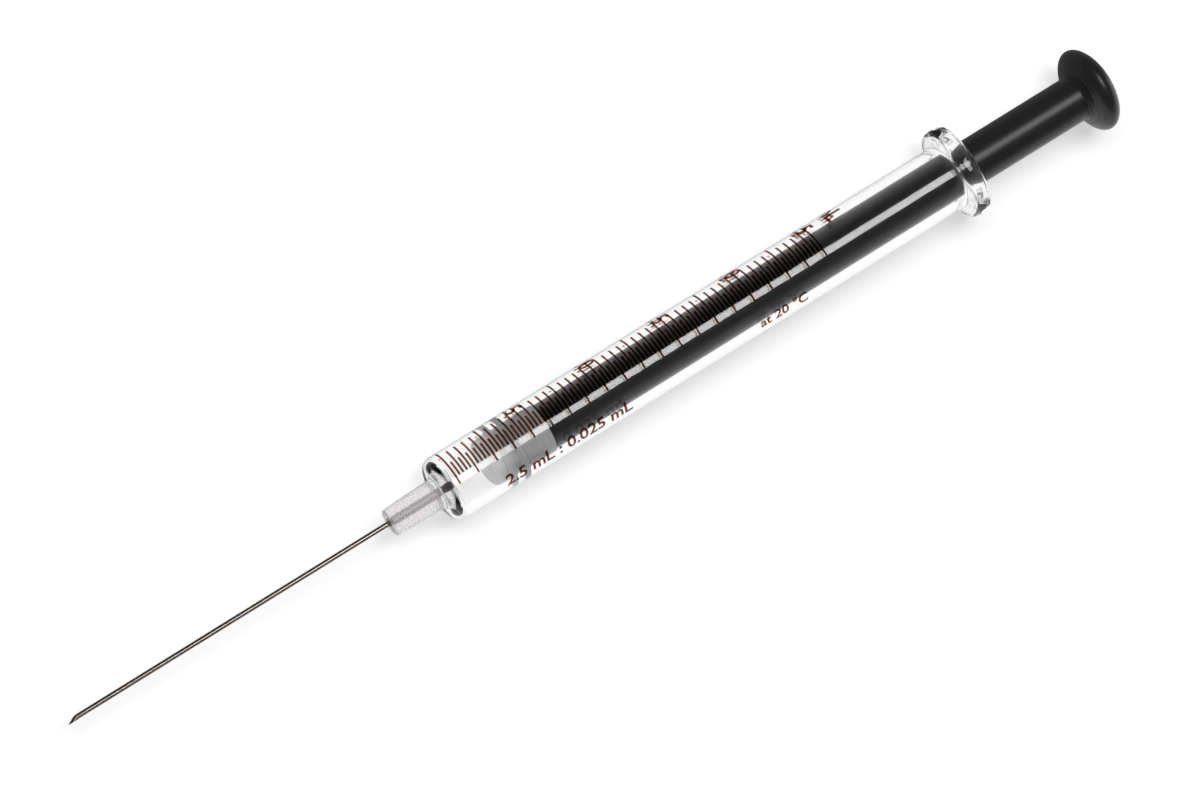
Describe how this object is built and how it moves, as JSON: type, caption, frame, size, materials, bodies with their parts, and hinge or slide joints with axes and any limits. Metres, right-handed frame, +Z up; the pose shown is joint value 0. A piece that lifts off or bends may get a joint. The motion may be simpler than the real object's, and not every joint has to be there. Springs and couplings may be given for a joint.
{
  "type": "gas syringe",
  "caption": "Glass gas-tight syringe with a cemented steel needle, a printed scale, an oval finger flange and a sliding plunger with a soft white seal.",
  "frame": {"origin": "on the barrel's axis at the zero mark of the scale, 0.74 mm behind the closed end of the bore", "axes": "+X along the barrel's axis towards the plunger's head, -X towards the needle's point, +Z up as the syringe lies, the flange's long axis along Y"},
  "size_m": [0.1699, 0.0136, 0.0124],
  "materials": {
    "barrel_glass": "clear, fire-polished, with a ground cone",
    "scale_ink": "fired brown print",
    "needle_steel": "bright drawn",
    "cement": "clear grey resin",
    "seal_white": "turned, waxy",
    "rod_black": "black anodised, satin",
    "head_black": "black anodised, satin"
  },
  "bodies": {
    "barrel": {"glass_barrel": "barrel_glass", "scale_marks": "scale_ink", "needle": "needle_steel", "needle_cement": "cement"},
    "plunger": {"ptfe_seal": "seal_white", "plunger_rod": "rod_black", "plunger_head": "head_black"}
  },
  "joints": [
    {"name": "plunger_slide", "type": "slide", "parent": "barrel", "child": "plunger", "axis": [1, 0, 0], "range_m": [-0.0057, 0.0549]}
  ]
}
